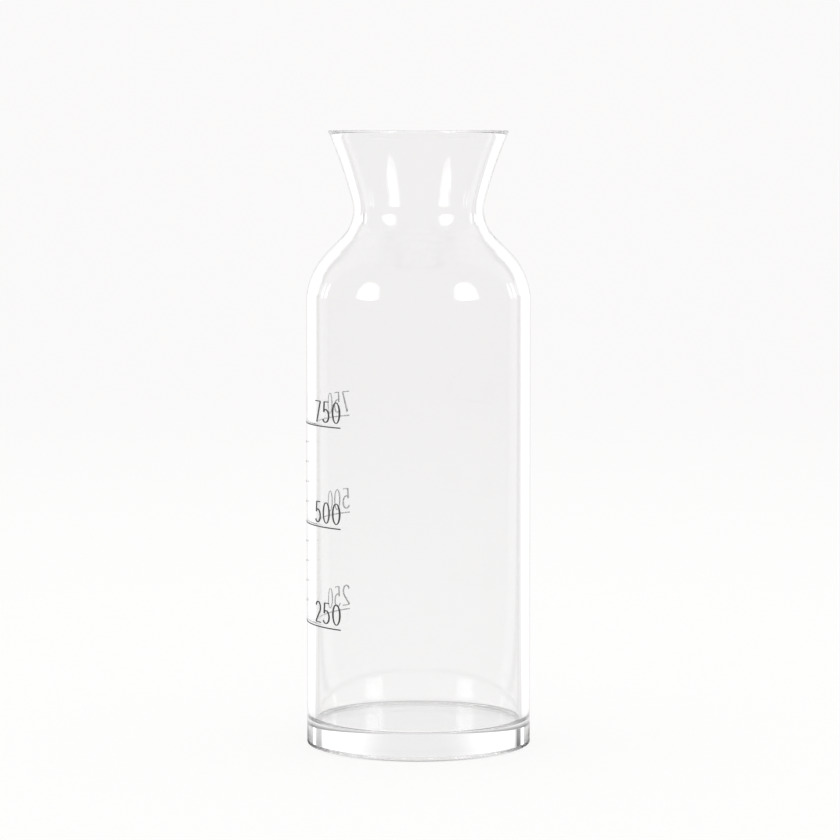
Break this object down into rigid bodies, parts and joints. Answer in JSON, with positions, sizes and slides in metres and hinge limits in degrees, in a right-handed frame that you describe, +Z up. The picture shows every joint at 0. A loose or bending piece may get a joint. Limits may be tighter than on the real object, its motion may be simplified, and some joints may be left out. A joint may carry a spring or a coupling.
{
  "type": "water carafe",
  "caption": "Clear glass water carafe with a straight body, rounded shoulder, narrow waist, flared mouth, thick base and a printed fill scale.",
  "frame": {"origin": "centre of the plane that the carafe stands on", "axes": "+Z up along the carafe's axis, out of the mouth; the printed scale is centred on the -X side, and -Y is the side seen in the picture"},
  "size_m": [0.0951, 0.095, 0.2604],
  "materials": {
    "clear_glass": "clear, colourless, polished glass with a fire-polished rim",
    "printed_enamel": "thin near-black ceramic enamel, screen printed and fired on the glass"
  },
  "bodies": {
    "root": {"glass_vessel": "clear_glass", "level_line_250": "printed_enamel", "level_line_500": "printed_enamel", "level_line_750": "printed_enamel", "numerals_250_front": "printed_enamel", "numerals_250_rear": "printed_enamel", "numerals_500_front": "printed_enamel", "numerals_500_rear": "printed_enamel", "numerals_750_front": "printed_enamel", "numerals_750_rear": "printed_enamel", "graduations_lower": "printed_enamel", "graduations_upper": "printed_enamel"}
  },
  "joints": []
}
